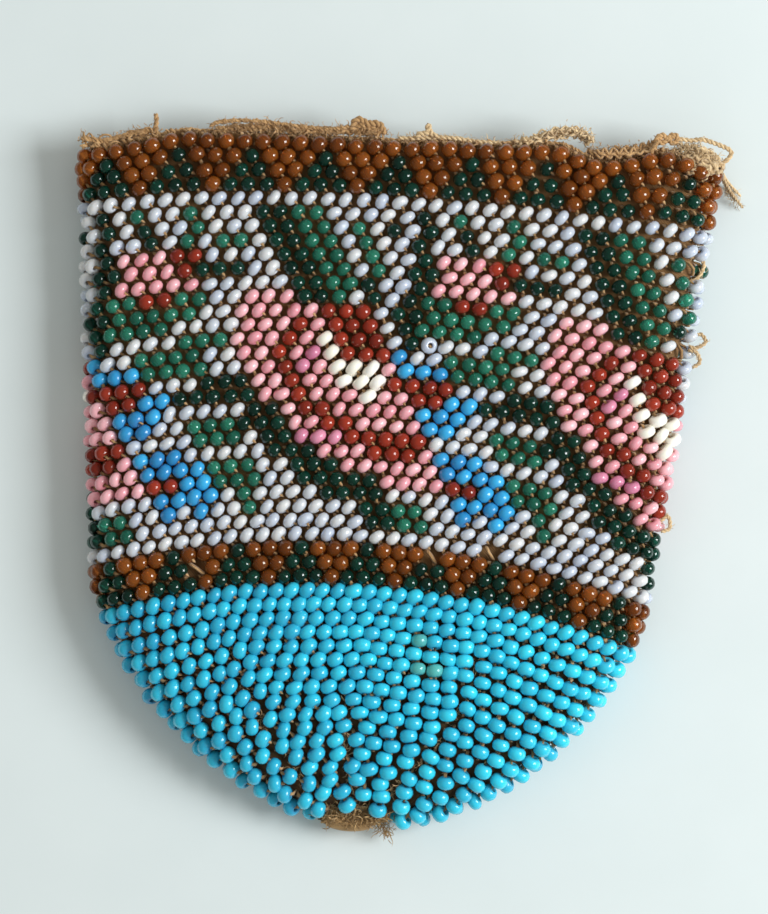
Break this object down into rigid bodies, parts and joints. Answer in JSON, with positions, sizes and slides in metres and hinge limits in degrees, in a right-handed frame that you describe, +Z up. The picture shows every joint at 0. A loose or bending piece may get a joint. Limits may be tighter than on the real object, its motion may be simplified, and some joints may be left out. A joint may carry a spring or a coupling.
{
  "type": "beaded reticule",
  "caption": "Small flat knitted pouch covered in rounds of glass beads, with floral field, triangle borders and a round turquoise base; open mouth with a raw thread edge.",
  "frame": {"origin": "on the surface that the bag lies on, under the middle of its box", "axes": "+Y towards the mouth, +Z up out of the front, +X to the right as the front is seen"},
  "size_m": [0.0958, 0.1034, 0.0105],
  "materials": {
    "thread": "dull twisted thread",
    "brown_beads": "glossy glass",
    "border_beads": "glossy glass, brown and dark green",
    "field_beads": "glossy glass, opal with coloured flowers",
    "turquoise_beads": "glossy glass",
    "brown_fibre": "matted dull fibre"
  },
  "bodies": {
    "root": {"knitted_ground": "thread", "bead_row_01": "brown_beads", "bead_row_02": "border_beads", "bead_row_03": "border_beads", "bead_row_04": "border_beads", "bead_row_05": "field_beads", "bead_row_06": "field_beads", "bead_row_07": "field_beads", "bead_row_08": "field_beads", "bead_row_09": "field_beads", "bead_row_10": "field_beads", "bead_row_11": "field_beads", "bead_row_12": "field_beads", "bead_row_13": "field_beads", "bead_row_14": "field_beads", "bead_row_15": "field_beads", "bead_row_16": "field_beads", "bead_row_17": "field_beads", "bead_row_18": "field_beads", "bead_row_19": "field_beads", "bead_row_20": "field_beads", "bead_row_21": "field_beads", "bead_row_22": "field_beads", "bead_row_23": "field_beads", "bead_row_24": "field_beads", "bead_row_25": "field_beads", "bead_row_26": "field_beads", "bead_row_27": "field_beads", "bead_row_28": "field_beads", "bead_row_29": "field_beads", "bead_row_30": "border_beads", "bead_row_31": "border_beads", "bead_row_32": "border_beads", "bead_row_33": "turquoise_beads", "bead_row_34": "turquoise_beads", "bead_row_35": "turquoise_beads", "bead_row_36": "turquoise_beads", "bead_row_37": "turquoise_beads", "bead_row_38": "turquoise_beads", "bead_row_39": "turquoise_beads", "bead_row_40": "turquoise_beads", "bead_row_41": "turquoise_beads", "bead_row_42": "turquoise_beads", "bead_row_43": "turquoise_beads", "bead_row_44": "turquoise_beads", "bead_row_45": "turquoise_beads", "bead_row_46": "turquoise_beads", "bead_row_47": "turquoise_beads", "bead_row_48": "turquoise_beads", "bead_row_49": "turquoise_beads", "cast_on_cord": "thread", "edge_strip": "thread", "edge_strip_knot": "thread", "left_thread_end": "thread", "corner_knot_1": "thread", "corner_knot_2": "thread", "loose_tail": "thread", "base_patch": "brown_fibre", "base_tuft": "brown_fibre"}
  },
  "joints": []
}
